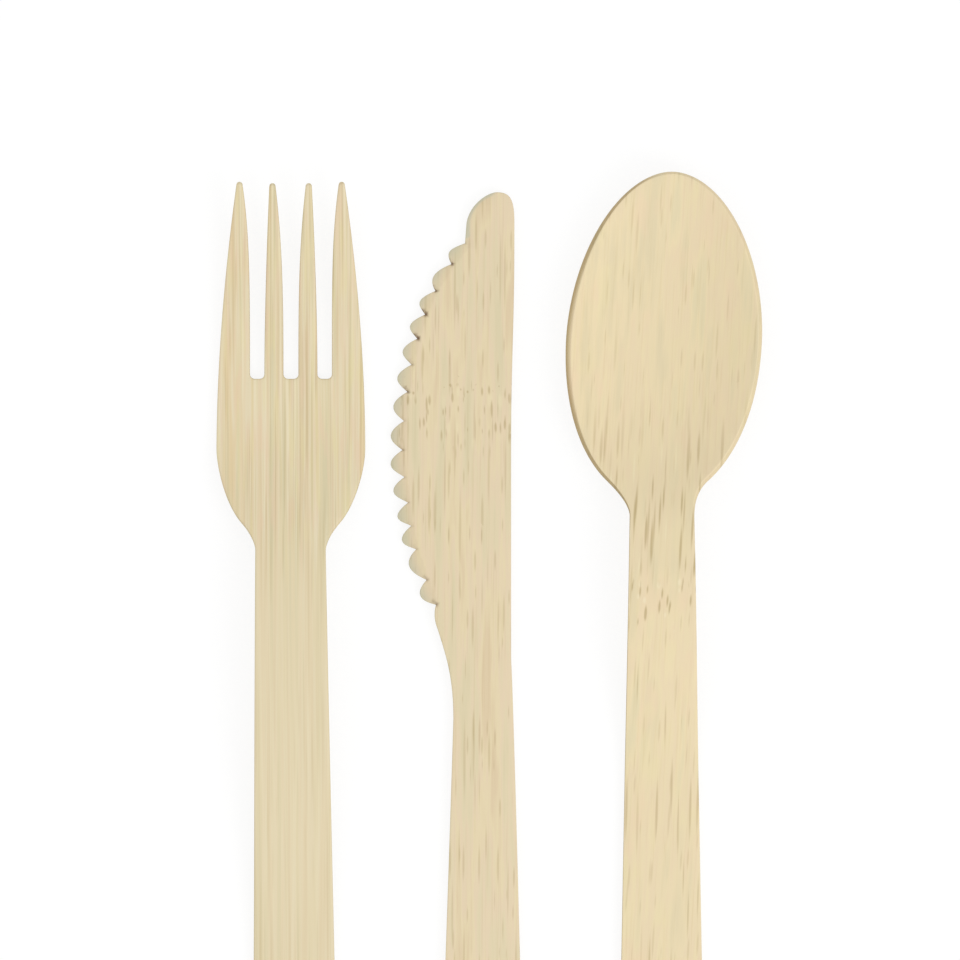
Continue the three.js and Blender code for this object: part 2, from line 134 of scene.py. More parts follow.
def lay(name, blank, material):
    """Fits a finished blank into its solid's box, in metres, and puts it in the solid's place."""
    low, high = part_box(name)
    places = [[vert.co[axis] for vert in blank.verts] for axis in range(3)]
    size = [(high[axis] - low[axis]) / (max(places[axis]) - min(places[axis])) for axis in range(3)]
    start = [low[axis] - min(places[axis]) * size[axis] for axis in range(3)]
    bmesh.ops.scale(blank, vec=size, verts=blank.verts[:])
    bmesh.ops.translate(blank, vec=start, verts=blank.verts[:])
    for face in blank.faces:
        face.smooth = True
    mesh = bpy.data.meshes.new("bamboo_" + name)
    blank.to_mesh(mesh)
    blank.free()
    mesh.materials.append(material)
    piece = bpy.data.objects.new("bamboo_" + name, mesh)
    bpy.context.scene.collection.objects.link(piece)
    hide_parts(name)
    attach(piece, "root")


HEAD_HALF, HEAD_WIDEST_AT, HEAD_TAPER = 13.55, 49.0, 1.85
INNER_TINE_AT, INNER_TINE_TOP, INNER_TAPER_LEFT, INNER_TAPER_RIGHT = 3.3, 0.5, 3, 1.7
OUTER_TINE_AT, OUTER_TINE_TOP, OUTER_TAPER_LEFT = 9.3, 0.25, 4
TIP_RADIUS = 0.57
SLOT_FOOT, SLOT_CORNER = 36.1, 0.85
MIDDLE_SLOT_HALF, SIDE_SLOT_LEFT, SIDE_SLOT_RIGHT = 1.375, 4.825, 7.475
NECK_HALF, FORK_NECK_AT, FORK_HANDLE_HALF, FORK_HANDLE_SWAY = 6.4, 67.5, 7.65, 0.8
TINE_LIFT, FORK_LOWEST_AT = 4.5, 38
ARCH_HEIGHT, ARCH_TOP_AT, ARCH_ENDS_AT = 5.5, 82, 152
FORK_TUMBLED = 0.33


def flank(tip_x, tip_y, foot_x, foot_at, power, points=26):
    """A tine's flank from its tip down: it tapers fast near the tip and hardly at all at the foot."""
    line = []
    for step in range(points + 1):
        y = tip_y + (-foot_at - tip_y) * step / points
        share = max(0.0, (y + foot_at) / (tip_y + foot_at))
        line.append((foot_x + (tip_x - foot_x) * share ** power, y))
    return line


def tine_tip(x, y):
    """The round tip of a tine, from its left side over the top to its right side."""
    turns = [math.radians(angle) for angle in range(160, 0, -23)]
    return [(x + TIP_RADIUS * math.cos(turn), y + TIP_RADIUS * math.sin(turn)) for turn in turns]


def slot_foot(left, right):
    """The foot of a slot, from its left side round two corners to its right side."""
    turns = [math.radians(angle) for angle in range(0, 91, 18)]
    line = [(left + SLOT_CORNER * (1 - math.cos(turn)), SLOT_CORNER * (1 - math.sin(turn)) - SLOT_FOOT)
            for turn in turns]
    return line + [(left + right - x, y) for x, y in reversed(line)]


inner_y, outer_y = -INNER_TINE_TOP - TIP_RADIUS, -OUTER_TINE_TOP - TIP_RADIUS
foot_at = SLOT_FOOT - SLOT_CORNER
inner_left = flank(INNER_TINE_AT - TIP_RADIUS, inner_y, MIDDLE_SLOT_HALF, foot_at, INNER_TAPER_LEFT)
inner_right = flank(INNER_TINE_AT + TIP_RADIUS, inner_y, SIDE_SLOT_LEFT, foot_at, INNER_TAPER_RIGHT)
outer_left = flank(OUTER_TINE_AT - TIP_RADIUS, outer_y, SIDE_SLOT_RIGHT, foot_at, OUTER_TAPER_LEFT)
outer_right = flank(OUTER_TINE_AT + TIP_RADIUS, outer_y, HEAD_HALF, HEAD_WIDEST_AT, HEAD_TAPER, points=34)
shoulder = bow((HEAD_HALF, -HEAD_WIDEST_AT),
               (HEAD_HALF, -52.2), (12.0, -58.9), (9.0, -62.4),
               (7.27, -64.3), (NECK_HALF, -66.3), (NECK_HALF, -FORK_NECK_AT), points=16)

fork_outline = [(x, y) for x, y in slot_foot(-MIDDLE_SLOT_HALF, MIDDLE_SLOT_HALF) if x >= 0][:-1]
fork_outline += list(reversed(inner_left)) + tine_tip(INNER_TINE_AT, inner_y) + inner_right
fork_outline += slot_foot(SIDE_SLOT_LEFT, SIDE_SLOT_RIGHT)[1:-1]
fork_outline += list(reversed(outer_left)) + tine_tip(OUTER_TINE_AT, outer_y) + outer_right
fork_outline += shoulder + handle_side(NECK_HALF, FORK_NECK_AT, FORK_HANDLE_HALF)
fork_outline += [(-x, y) for x, y in reversed(fork_outline) if x > HAIR]

fork = cut_blank([fork_outline], FORK_TUMBLED)
score(fork, "y", start=-1.5, step=-1.5, count=112)
score(fork, "x", start=-12, step=3, count=9)


def fork_underside(x, y):
    """The pressed fork from below: tines that curve up, and a long arch at the neck."""
    lifted = TINE_LIFT * max(0.0, 1 + y / FORK_LOWEST_AT) ** 2
    arched = climb(y, FORK_LOWEST_AT, ARCH_TOP_AT) * (1 - climb(y, ARCH_TOP_AT, ARCH_ENDS_AT))
    return lifted + ARCH_HEIGHT * arched


press(fork, fork_underside)
for vert in fork.verts:
    vert.co.x += FORK_HANDLE_SWAY * max(0.0, -vert.co.y - FORK_NECK_AT) / (BLANK_LENGTH - FORK_NECK_AT)

MM = 0.001
PATTERN_SHIFT = (0.0137, 0.0071, 0.031)
PATTERN_DEPTH = 0.03
BARE_WOOD_ROUGHNESS, BARE_WOOD_IOR = 0.6, 1.4
RELIEF, RELIEF_STRENGTH = 0.04, 0.5
CUT_FACE_SHADE = (0.80, 0.76, 0.64)


def bamboo(name):
    """A new bamboo finish: bare wood, with neither lacquer nor wax."""
    wood = bpy.data.materials.new(name)
    wood.use_nodes = True
    shader = wood.node_tree.nodes["Principled BSDF"]
    shader.inputs["Roughness"].default_value = BARE_WOOD_ROUGHNESS
    shader.inputs["IOR"].default_value = BARE_WOOD_IOR
    return wood


def drawn_out(wood, across, along, shift, lean):
    """Places for a pattern drawn out along the fibres. Its sizes are in millimetres, its lean in degrees."""
    where = wood.node_tree.nodes.new("ShaderNodeTexCoord")
    place = wood.node_tree.nodes.new("ShaderNodeMapping")
    place.vector_type = "TEXTURE"
    place.inputs["Location"].default_value = [shift * step for step in PATTERN_SHIFT]
    place.inputs["Rotation"].default_value = (0, 0, math.radians(lean))
    place.inputs["Scale"].default_value = (across * MM, along * MM, PATTERN_DEPTH)
    wood.node_tree.links.new(where.outputs["Object"], place.inputs["Vector"])
    return place.outputs["Vector"]


def streaks(wood, across, along, shift, lean=0.0, detail=2.0):
    """Soft streaks of these sizes, from 0 to 1. Each shift gives other streaks."""
    pattern = wood.node_tree.nodes.new("ShaderNodeTexNoise")
    pattern.inputs["Scale"].default_value = 1.0
    pattern.inputs["Detail"].default_value = detail
    wood.node_tree.links.new(drawn_out(wood, across, along, shift, lean), pattern.inputs["Vector"])
    return pattern.outputs["Fac"]


def rising(wood, value, low, high, most=1.0):
    """Climbs smoothly from 0 to the most as a value goes from low to high."""
    step = wood.node_tree.nodes.new("ShaderNodeMapRange")
    step.interpolation_type = "SMOOTHSTEP"
    step.inputs["From Min"].default_value = low
    step.inputs["From Max"].default_value = high
    step.inputs["To Max"].default_value = most
    wood.node_tree.links.new(value, step.inputs["Value"])
    return step.outputs["Result"]


def joined(wood, operation, first, second):
    """Two values put together by one operation."""
    maths = wood.node_tree.nodes.new("ShaderNodeMath")
    maths.operation = operation
    for socket, value in zip(maths.inputs, (first, second)):
        if isinstance(value, (int, float)):
            socket.default_value = value
        else:
            wood.node_tree.links.new(value, socket)
    return maths.outputs["Value"]


def dashes(wood, length, width, spread, shift, lean, share):
    """How deep a place lies in one of the separate fibre ends that show as soft pointed dashes.

    Their length and width are in millimetres, and they lie as far apart as the spread says, in
    widths. Only a share of the places for a dash has one, and some of these are fainter.
    """
    cells = wood.node_tree.nodes.new("ShaderNodeTexVoronoi")
    parts = wood.node_tree.nodes.new("ShaderNodeSeparateColor")
    cells.voronoi_dimensions = "2D"
    cells.inputs["Scale"].default_value = 1.0
    place = drawn_out(wood, width * spread, length * spread, shift, lean)
    wood.node_tree.links.new(place, cells.inputs["Vector"])
    wood.node_tree.links.new(cells.outputs["Color"], parts.inputs["Color"])
    present = rising(wood, parts.outputs["Red"], 1 - share, 1 - share * 0.7)
    shorter = joined(wood, "MULTIPLY", parts.outputs["Green"], 0.3 / spread)
    from_middle = joined(wood, "ADD", cells.outputs["Distance"], shorter)
    return joined(wood, "MULTIPLY", rising(wood, from_middle, 0.65 / spread, 0.25 / spread), present)


def tints(wood, pattern, stops):
    """The colours that a pattern passes through, as (place, colour) pairs."""
    ramp = wood.node_tree.nodes.new("ShaderNodeValToRGB")
    while len(ramp.color_ramp.elements) < len(stops):
        ramp.color_ramp.elements.new(0.5)
    for element, (place, colour) in zip(ramp.color_ramp.elements, stops):
        element.position = place
        element.color = (*colour, 1)
    wood.node_tree.links.new(pattern, ramp.inputs["Fac"])
    return ramp.outputs["Color"]


def stain(wood, ground, amount, colour, blend="MIX"):
    """Lays a colour over the ground, as strongly as the amount says."""
    mix = wood.node_tree.nodes.new("ShaderNodeMix")
    mix.data_type = "RGBA"
    mix.blend_type = blend
    wood.node_tree.links.new(amount, mix.inputs["Factor"])
    wood.node_tree.links.new(ground, mix.inputs["A"])
    mix.inputs["B"].default_value = (*colour, 1)
    return mix.outputs["Result"]


def marked(wood, ground, marks, strength, colour, where=None):
    """Lays a colour over the ground where there are marks, and only inside a band if one is given."""
    amount = joined(wood, "MULTIPLY", marks, strength)
    if where is not None:
        amount = joined(wood, "MULTIPLY", amount, where)
    return stain(wood, ground, amount, colour)


def part_of(wood, vector, axis):
    """One axis of a vector."""
    parts = wood.node_tree.nodes.new("ShaderNodeSeparateXYZ")
    wood.node_tree.links.new(vector, parts.inputs["Vector"])
    return parts.outputs[axis]


def place_on(wood, axis):
    """The place along an axis of the set, in metres: X runs across it and Y along the handles."""
    where = wood.node_tree.nodes.new("ShaderNodeTexCoord")
    return part_of(wood, where.outputs["Object"], axis)


def cut_faces(wood):
    """How much a surface is a cut face, square to the strip, and not one of its two broad faces."""
    surface = wood.node_tree.nodes.new("ShaderNodeNewGeometry")
    upright = joined(wood, "ABSOLUTE", part_of(wood, surface.outputs["Normal"], "Z"), 0)
    return rising(wood, upright, 0.78, 0.5)


def edged(wood, ground):
    """The ground with its cut faces a little darker than the broad ones."""
    amount = joined(wood, "MULTIPLY", cut_faces(wood), 0.35)
    return stain(wood, ground, amount, CUT_FACE_SHADE, "MULTIPLY")


def finish(wood, ground, relief):
    """Joins the colour and the fine relief of the fibres to the shader."""
    shader = wood.node_tree.nodes["Principled BSDF"]
    bump = wood.node_tree.nodes.new("ShaderNodeBump")
    bump.inputs["Distance"].default_value = RELIEF * MM
    bump.inputs["Strength"].default_value = RELIEF_STRENGTH
    wood.node_tree.links.new(relief, bump.inputs["Height"])
    wood.node_tree.links.new(bump.outputs["Normal"], shader.inputs["Normal"])
    wood.node_tree.links.new(ground, shader.inputs["Base Color"])


FORK_LEAN = 0.15
FORK_LAYERS = [(0.34, (0.73, 0.60, 0.38)), (0.44, (0.79, 0.66, 0.44)), (0.50, (0.79, 0.69, 0.48)),
               (0.57, (0.77, 0.66, 0.42)), (0.66, (0.70, 0.62, 0.40))]
HEAD_FROM, HEAD_FULL_AT = 0.004, 0.026
LEFT_TINE_FROM, LEFT_TINE_FULL_AT = -0.040, -0.0475
RIGHT_EDGE_FROM, RIGHT_EDGE_FULL_AT = -0.0245, -0.0232
FORK_BLUSH, FORK_THREAD, FORK_PALE = (0.77, 0.60, 0.35), (0.86, 0.84, 0.78), (0.85, 0.76, 0.54)
FORK_CALM, FORK_SEAM = (0.765, 0.66, 0.44), (0.52, 0.41, 0.19)
CALM_ON_HANDLE, SEAMS_ON_HANDLE = 0.5, 0.55
# Soft patches on the head: width, length, shift and colour.
FORK_PATCHES = [(1.4, 11, 34, (0.80, 0.61, 0.42)), (1.1, 14, 38, (0.79, 0.69, 0.38))]
# Dark seams between the fibres: length, width, share, strength and shift.
FORK_SEAMS = [(30, 0.45, 0.6, 0.30, 5), (13, 0.4, 0.6, 0.27, 6), (50, 0.5, 0.5, 0.26, 7)]

edge_grain = bamboo("bamboo_edge_grain")
across, along = place_on(edge_grain, "X"), place_on(edge_grain, "Y")
head = rising(edge_grain, along, HEAD_FROM, HEAD_FULL_AT)
outer_edges = joined(edge_grain, "MAXIMUM", rising(edge_grain, across, LEFT_TINE_FROM, LEFT_TINE_FULL_AT),
                     rising(edge_grain, across, RIGHT_EDGE_FROM, RIGHT_EDGE_FULL_AT))
layers = streaks(edge_grain, across=1.0, along=80, shift=31, lean=FORK_LEAN, detail=3)
ground = tints(edge_grain, layers, FORK_LAYERS)
blush = streaks(edge_grain, across=1.2, along=22, shift=32, lean=FORK_LEAN)
blush = joined(edge_grain, "MULTIPLY", blush, outer_edges)
ground = stain(edge_grain, ground, rising(edge_grain, blush, 0.38, 0.60, most=0.65), FORK_BLUSH)
for width, length, shift, colour in FORK_PATCHES:
    patches = rising(edge_grain, streaks(edge_grain, width, length, shift), 0.50, 0.68, most=0.5)
    ground = marked(edge_grain, ground, patches, head, colour)
rough = streaks(edge_grain, across=3.5, along=35, shift=33, lean=FORK_LEAN, detail=1)
rough = rising(edge_grain, rough, 0.40, 0.60)
threads = streaks(edge_grain, across=0.28, along=45, shift=3, lean=FORK_LEAN, detail=3)
thin_lines = joined(edge_grain, "MULTIPLY", rising(edge_grain, threads, 0.46, 0.66, most=0.9), rough)
ground = stain(edge_grain, ground, thin_lines, FORK_THREAD, "MULTIPLY")
pale = streaks(edge_grain, across=0.7, along=40, shift=4, lean=FORK_LEAN)
ground = stain(edge_grain, ground, rising(edge_grain, pale, 0.54, 0.70, most=0.55), FORK_PALE)
calm = joined(edge_grain, "SUBTRACT", CALM_ON_HANDLE, joined(edge_grain, "MULTIPLY", head, CALM_ON_HANDLE))
ground = stain(edge_grain, ground, calm, FORK_CALM)
for length, width, share, most, shift in FORK_SEAMS:
    seams = dashes(edge_grain, length, width, spread=2.6, shift=shift, lean=FORK_LEAN, share=share)
    stronger = joined(edge_grain, "MULTIPLY", head, most * (1 - SEAMS_ON_HANDLE))
    strength = joined(edge_grain, "ADD", most * SEAMS_ON_HANDLE, stronger)
    ground = marked(edge_grain, ground, seams, strength, FORK_SEAM)
finish(edge_grain, edged(edge_grain, ground), threads)
lay("fork", fork, edge_grain)

# The knife is a second blank, from a strip of flat-grain bamboo, and stays flat. Fourteen scallops
# are cut along its left edge, leaning up at the tip and down towards the handle, and the cutter
# scorches their gullets. The cutting side of the blade is pressed thinner in one long bevel.
SPINE_AT_TIP, SPINE_AT_NECK = 5.88, 5.28
SPINE_STRAIGHT_TO, SPINE_SPREADS_AT, SPINE_SPREAD = 7, 85, 0.85
KNIFE_NECK_AT, KNIFE_NECK_WIDTH, KNIFE_HANDLE_HALF = 96.0, 10.5, 7.5
TIP_TOP, TIP_POINTS = (2.7, 0), 14
ROOT_KNOTS = [(-3.1, -9.3), (-8.5, -18.0), (-11.8, -26.7), (-13.6, -36.4),
              (-14.5, -47.0), (-13.5, -56.6), (-12.0, -65.1), (-8.4, -75.2)]
TEETH, STEPS_TO_A_TOOTH, POINTS_TO_A_TOOTH = 14, 12, 12
# A tooth's upper flank reaches out and drops, and its lower one reaches out and rises, this far at
# the first tooth and at the last. All teeth swell out a little more halfway down the blade.
TOP_REACH, TOP_DROP = (3.3, 3.65), (1.2, 3.95)
FOOT_REACH, FOOT_RISE = (1.0, -0.2), (2.2, 0.1)
SWELL = 1.0
BEVEL_RUN, BEVEL_DROP, BEVEL_BELOW_TEETH, BEVEL_ENDS_AT_X = 3.0, 1.1, 0.5, 3
CREASE_STEPS, CREASE_AT_TOP, CREASE_WIDENS, CREASE_DROPS = 12, 0.3, 0.7, 0.8
GULLET_BEVEL, GULLET_BEVEL_MORE, CREASE_NARROWS_IN = 0.5, 0.8, 6
TIP_BEVEL, TIP_BEVEL_TO = 0.6, 1
KNIFE_TUMBLED = 0.2


def spine_x(y):
    """The spine's place at a height of the blade or the handle."""
    blade = SPINE_AT_TIP + (SPINE_AT_NECK - SPINE_AT_TIP) * climb(y, SPINE_STRAIGHT_TO, KNIFE_NECK_AT / 2)
    share = max(0.0, (-y - SPINE_SPREADS_AT) / (BLANK_LENGTH - HANDLE_END_ROUND - SPINE_SPREADS_AT))
    return blade + (KNIFE_HANDLE_HALF - SPINE_AT_NECK) * share ** SPINE_SPREAD


def through(knots, steps):
    """A smooth line through the knots, with as many steps from each to the next."""
    line = [Vector(knots[0]).to_3d()]
    for k in range(len(knots) - 1):
        before, start, end, after = (Vector(knots[min(max(k + step, 0), len(knots) - 1)]).to_3d()
                                     for step in (-1, 0, 1, 2))
        leave, arrive = start + (end - before) / 6, end - (after - start) / 6
        line += interpolate_bezier(start, leave, arrive, end, steps + 1)[1:]
    return line


def evenly(line, count):
    """Points of a line at even distances, without its first one."""
    spans = [(Vector(b) - Vector(a)).length for a, b in zip(line, line[1:])]
    points, k, passed = [], 0, 0.0
    for step in range(1, count):
        wanted = sum(spans) * step / count
        while passed + spans[k] < wanted:
            passed += spans[k]
            k += 1
        spot = Vector(line[k]).lerp(Vector(line[k + 1]), (wanted - passed) / spans[k])
        points.append((spot.x, spot.y))
    return points + [line[-1]]


root_line = through(ROOT_KNOTS, 2 * STEPS_TO_A_TOOTH)
gullets = root_line[::STEPS_TO_A_TOOTH]
scallops = []
for tooth, (start, end) in enumerate(zip(gullets, gullets[1:])):
    down = tooth / (TEETH - 1)
    swell = SWELL * 4 * down * (1 - down)
    top_reach, top_drop, foot_reach, foot_rise = (
        at_tip + (at_heel - at_tip) * down
        for at_tip, at_heel in (TOP_REACH, TOP_DROP, FOOT_REACH, FOOT_RISE))
    lobe = bow(start, (start.x - top_reach - swell, start.y - top_drop),
               (end.x - foot_reach - swell, end.y + foot_rise), end, points=40)
    scallops += evenly([(start.x, start.y)] + lobe, POINTS_TO_A_TOOTH)

(top_x, top_y, _), (heel_x, heel_y, _) = gullets[0], gullets[-1]
neck_left = SPINE_AT_NECK - KNIFE_NECK_WIDTH
tip_left = bow(TIP_TOP, (0.9, 0), (top_x + 0.2, -2.6), (top_x + 0.2, -6.5), points=TIP_POINTS)
tip_left.append((top_x, top_y))
tip_right = bow(TIP_TOP, (5.1, 0), (SPINE_AT_TIP, -1.2), (SPINE_AT_TIP, -5.5), points=TIP_POINTS)
heel = bow((heel_x, heel_y),
           (heel_x - 0.4, heel_y - 1.5), (heel_x - 0.3, heel_y - 2.9), (heel_x + 0.3, heel_y - 4.4),
           (heel_x + 1.7, heel_y - 8.9), (neck_left, -88), (neck_left, -KNIFE_NECK_AT), points=14)
handle_left = handle_side(-neck_left, KNIFE_NECK_AT, KNIFE_HANDLE_HALF, -1)
spine = tip_right + [(spine_x(-y), -y) for y in range(10, 164, 3)]
spine += [(-x, y) for x, y in handle_left[-END_POINTS:]]

crease = []
for step in range(1, CREASE_STEPS):
    share = step / CREASE_STEPS
    edge_x, edge_y = tip_left[int(share * (TIP_POINTS - 1))]
    crease.append((edge_x + CREASE_AT_TOP + CREASE_WIDENS * share, edge_y - CREASE_DROPS * (1 - share)))
for step, point in enumerate(root_line[:-4:4]):
    more = GULLET_BEVEL_MORE * (1 - min(1, step / CREASE_NARROWS_IN))
    crease.append((point.x + GULLET_BEVEL + more, point.y))

bevel_region = [TIP_TOP] + tip_left + scallops + list(reversed(crease))
blade_region = [TIP_TOP] + crease + [(heel_x, heel_y)] + heel + handle_left + list(reversed(spine))
knife = cut_blank([bevel_region, blade_region], KNIFE_TUMBLED)
score(knife, "y", start=-0.5, step=-0.5, count=155)
score(knife, "y", start=-80, step=-2, count=45)
score(knife, "x", start=-18, step=0.5, count=32)
score(knife, "x", start=0, step=3, count=2)

# How far each gullet is scorched, from the tip down, and its two scorched spots: how far each lies
# from the gullet's point, how wide it is, and how strong.
SCORCHED = [0.3, 0.8, 0.8, 1.0, 1.0, 0.5, 0.7, 0.25, 0.5, 0.25, 0.3, 0.25, 0.3, 0.45, 0.6]
SCORCH_SPOTS = [((0.15, 0.05), 0.65, 1.0), ((-0.45, 0.65), 0.75, 0.7)]
scorch_layer = knife.verts.layers.float.new("scorch")
for vert in knife.verts:
    for gullet, burnt in zip(gullets, SCORCHED):
        for aside, width, strength in SCORCH_SPOTS:
            away = (gullet.xy + Vector(aside) - vert.co.xy).length / width
            vert[scorch_layer] = max(vert[scorch_layer], strength * burnt * (1 - away))

bevel_layer = knife.verts.layers.float.new("bevel")
crease_line = [Vector(point).to_3d() for point in [TIP_TOP] + crease + [(heel_x, heel_y)]]
for vert in knife.verts:
    x, y, height = vert.co
    if y < heel_y - BEVEL_BELOW_TEETH or x > BEVEL_ENDS_AT_X or height < HAIR:
        continue
    place = Vector((x, y, 0))
    nearest, side = math.inf, 0.0
    for start, end in zip(crease_line, crease_line[1:]):
        share = intersect_point_line(place, start, end)[1]
        away = (place - start.lerp(end, min(1.0, max(0.0, share)))).length
        if away < nearest:
            nearest, side = away, (end - start).cross(place - start).z
    if side < 0:
        run = TIP_BEVEL if y > top_y + TIP_BEVEL_TO else BEVEL_RUN
        vert.co.z = height * (1 - min(1.0, nearest / BEVEL_RUN) * BEVEL_DROP / STRIP_THICKNESS)
        vert[bevel_layer] = min(1.0, nearest / run)

KNIFE_LEAN = -0.4
KNIFE_LAYERS = [(0.34, (0.73, 0.64, 0.42)), (0.44, (0.77, 0.66, 0.44)), (0.51, (0.79, 0.65, 0.45)),
                (0.58, (0.80, 0.68, 0.44)), (0.67, (0.75, 0.61, 0.40))]
DARK_FIBRE, KNIFE_THREAD, KNIFE_NODE_PALE = (0.47, 0.36, 0.17), (0.90, 0.88, 0.82), (0.85, 0.75, 0.49)
BEVEL_GREY, SCORCH_BROWN = (0.56, 0.565, 0.43), (0.17, 0.10, 0.05)
# The node of the cane and, above it, its ridge of small specks: places in metres.
KNIFE_NODE, KNIFE_RIDGE = 0.0423, 0.0475
# Dark fibre ends all over: length, width, share, strength and shift.
KNIFE_DASHES = [(8, 0.5, 0.8, 0.36, 13), (14, 0.46, 0.7, 0.32, 14), (4, 0.42, 0.5, 0.34, 15)]
# Dark fibre ends at the node: length, width and shift.
KNIFE_NODE_DASHES = [(3.4, 0.45, 17), (2.0, 0.5, 20), (2.8, 0.42, 21)]
NODE_WAVER = 10


def at_node(wood, place, reach, shift):
    """1 in a wavering band across the piece, falling to 0 at its reach, in millimetres."""
    bend = joined(wood, "SUBTRACT", streaks(wood, across=2.5, along=12, shift=shift), 0.5)
    bend = joined(wood, "MULTIPLY", bend, NODE_WAVER * MM)
    away = joined(wood, "SUBTRACT", joined(wood, "ADD", place_on(wood, "Y"), bend), place)
    return rising(wood, joined(wood, "ABSOLUTE", away, 0), reach * MM, reach * 0.6 * MM)


def carried(wood, name):
    """A value that the points of the mesh carry."""
    layer = wood.node_tree.nodes.new("ShaderNodeAttribute")
    layer.attribute_name = name
    return layer.outputs["Fac"]


knife_grain = bamboo("bamboo_flat_grain_knife")
layers = streaks(knife_grain, across=2.2, along=28, shift=41, lean=-0.3, detail=3)
ground = tints(knife_grain, layers, KNIFE_LAYERS)
threads = streaks(knife_grain, across=0.3, along=20, shift=12, lean=KNIFE_LEAN, detail=3)
thin_lines = rising(knife_grain, threads, 0.50, 0.74, most=0.6)
ground = stain(knife_grain, ground, thin_lines, KNIFE_THREAD, "MULTIPLY")
for length, width, share, strength, shift in KNIFE_DASHES:
    marks = dashes(knife_grain, length, width, spread=2.9, shift=shift, lean=KNIFE_LEAN, share=share)
    ground = marked(knife_grain, ground, marks, strength, DARK_FIBRE)
node = at_node(knife_grain, KNIFE_NODE, reach=6.0, shift=16)
pale = dashes(knife_grain, length=3.0, width=1.0, spread=2.4, shift=19, lean=1, share=0.7)
ground = marked(knife_grain, ground, pale, 0.45, KNIFE_NODE_PALE, node)
for length, width, shift in KNIFE_NODE_DASHES:
    marks = dashes(knife_grain, length, width, spread=2.7, shift=shift, lean=1, share=0.6)
    ground = marked(knife_grain, ground, marks, 0.56, DARK_FIBRE, node)
ridge = at_node(knife_grain, KNIFE_RIDGE, reach=1.3, shift=16)
specks = dashes(knife_grain, length=0.75, width=0.55, spread=2.6, shift=18, lean=0, share=0.55)
ground = marked(knife_grain, ground, specks, 0.6, DARK_FIBRE, ridge)
bevel = rising(knife_grain, carried(knife_grain, "bevel"), 0.1, 0.95, most=0.68)
ground = edged(knife_grain, stain(knife_grain, ground, bevel, BEVEL_GREY))
scorch = rising(knife_grain, carried(knife_grain, "scorch"), 0.0, 0.8)
finish(knife_grain, stain(knife_grain, ground, scorch, SCORCH_BROWN), threads)
lay("knife", knife, knife_grain)

# The spoon is the third blank, flat grain too. The press dishes its oval bowl and bends its neck
# over in one stroke, so the rim keeps the strip's thickness, and at the left, where the dish is
# steepest, its cut face shows from above, darkened with painted shade.
BOWL_HALF, BOWL_WIDEST_AT, BOWL_BELOW = 18.0, 30.9, 29.25
BOWL_ASIDE, BOWL_LEAN = 0.36, 0.0465
OVAL_ABOVE, OVAL_BELOW, OVAL_POINTS = 1.9, 2.1, 60
OVAL_ENDS_BELOW = 25.5
BOWL_DEPTH, STEEPNESS_LEFT, STEEPNESS_RIGHT = 4.8, 3.0, 1.8
DISH_FADES_AT, DISH_ENDS_AT = 55, 72
SPOON_CREST, SPOON_CREST_AT, SPOON_LIES_AT = 6.2, 75.0, 114
SPOON_NECK_HALF, SPOON_NECK_AT, SPOON_HANDLE_HALF = 5.925, 62.8, 7.75
SPOON_TUMBLED = 0.2


def bowl_middle(y):
    """The bowl leans: its middle line's place at a height."""
    return BOWL_ASIDE + BOWL_LEAN * (y + BOWL_WIDEST_AT)


def bowl_edge(angle, side):
    """A point of the bowl's oval, by its angle from the top."""
    above = angle < 90
    power = OVAL_ABOVE if above else OVAL_BELOW
    share = abs(math.cos(math.radians(angle)))
    y = -BOWL_WIDEST_AT + (BOWL_WIDEST_AT if above else -BOWL_BELOW) * share
    half = BOWL_HALF * max(0.0, 1 - share ** power) ** (1 / power)
    return bowl_middle(y) + side * half, y


def spoon_side(side):
    """One side of the spoon, from the top of the bowl to the end of the handle."""
    last_angle = 90 + math.degrees(math.asin(OVAL_ENDS_BELOW / BOWL_BELOW))
    line = [bowl_edge(last_angle * step / OVAL_POINTS, side) for step in range(1, OVAL_POINTS + 1)]
    # The line to the neck leaves the oval in the oval's own direction.
    (x0, y0), (x1, y1) = bowl_edge(last_angle - 0.3, side), line[-1]
    slope = (x1 - x0) / (y1 - y0)
    neck_x = side * SPOON_NECK_HALF
    bend = (neck_x, y1 + (neck_x - x1) / slope)
    line += bent_towards((x1, y1), bend, (neck_x, -SPOON_NECK_AT), points=12)
    return line + handle_side(SPOON_NECK_HALF, SPOON_NECK_AT, SPOON_HANDLE_HALF, side)


spoon_outline = [bowl_edge(0, 1)] + spoon_side(1) + list(reversed(spoon_side(-1)[:-1]))
spoon = cut_blank([spoon_outline], SPOON_TUMBLED)
score(spoon, "y", start=-1.5, step=-1.5, count=112)
score(spoon, "x", start=-17.5, step=1.75, count=21)


def spoon_underside(x, y):
    """The pressed spoon from below: a dish in both directions that fades into the bent neck."""
    below = -y - BOWL_WIDEST_AT
    reach = BOWL_WIDEST_AT if below < 0 else BOWL_BELOW
    across = (x - bowl_middle(y)) / BOWL_HALF
    steepness = STEEPNESS_LEFT if across < 0 else STEEPNESS_RIGHT
    dish = BOWL_DEPTH * abs(across) ** steepness * (1 - climb(y, DISH_FADES_AT, DISH_ENDS_AT))
    bowl = min(BOWL_DEPTH * (below / reach) ** 2, SPOON_CREST)
    lengthwise = bowl + (SPOON_CREST - bowl) * climb(y, BOWL_WIDEST_AT + BOWL_BELOW * 0.6, SPOON_CREST_AT)
    return dish + lengthwise * (1 - climb(y, SPOON_CREST_AT, SPOON_LIES_AT))


press(spoon, spoon_underside)

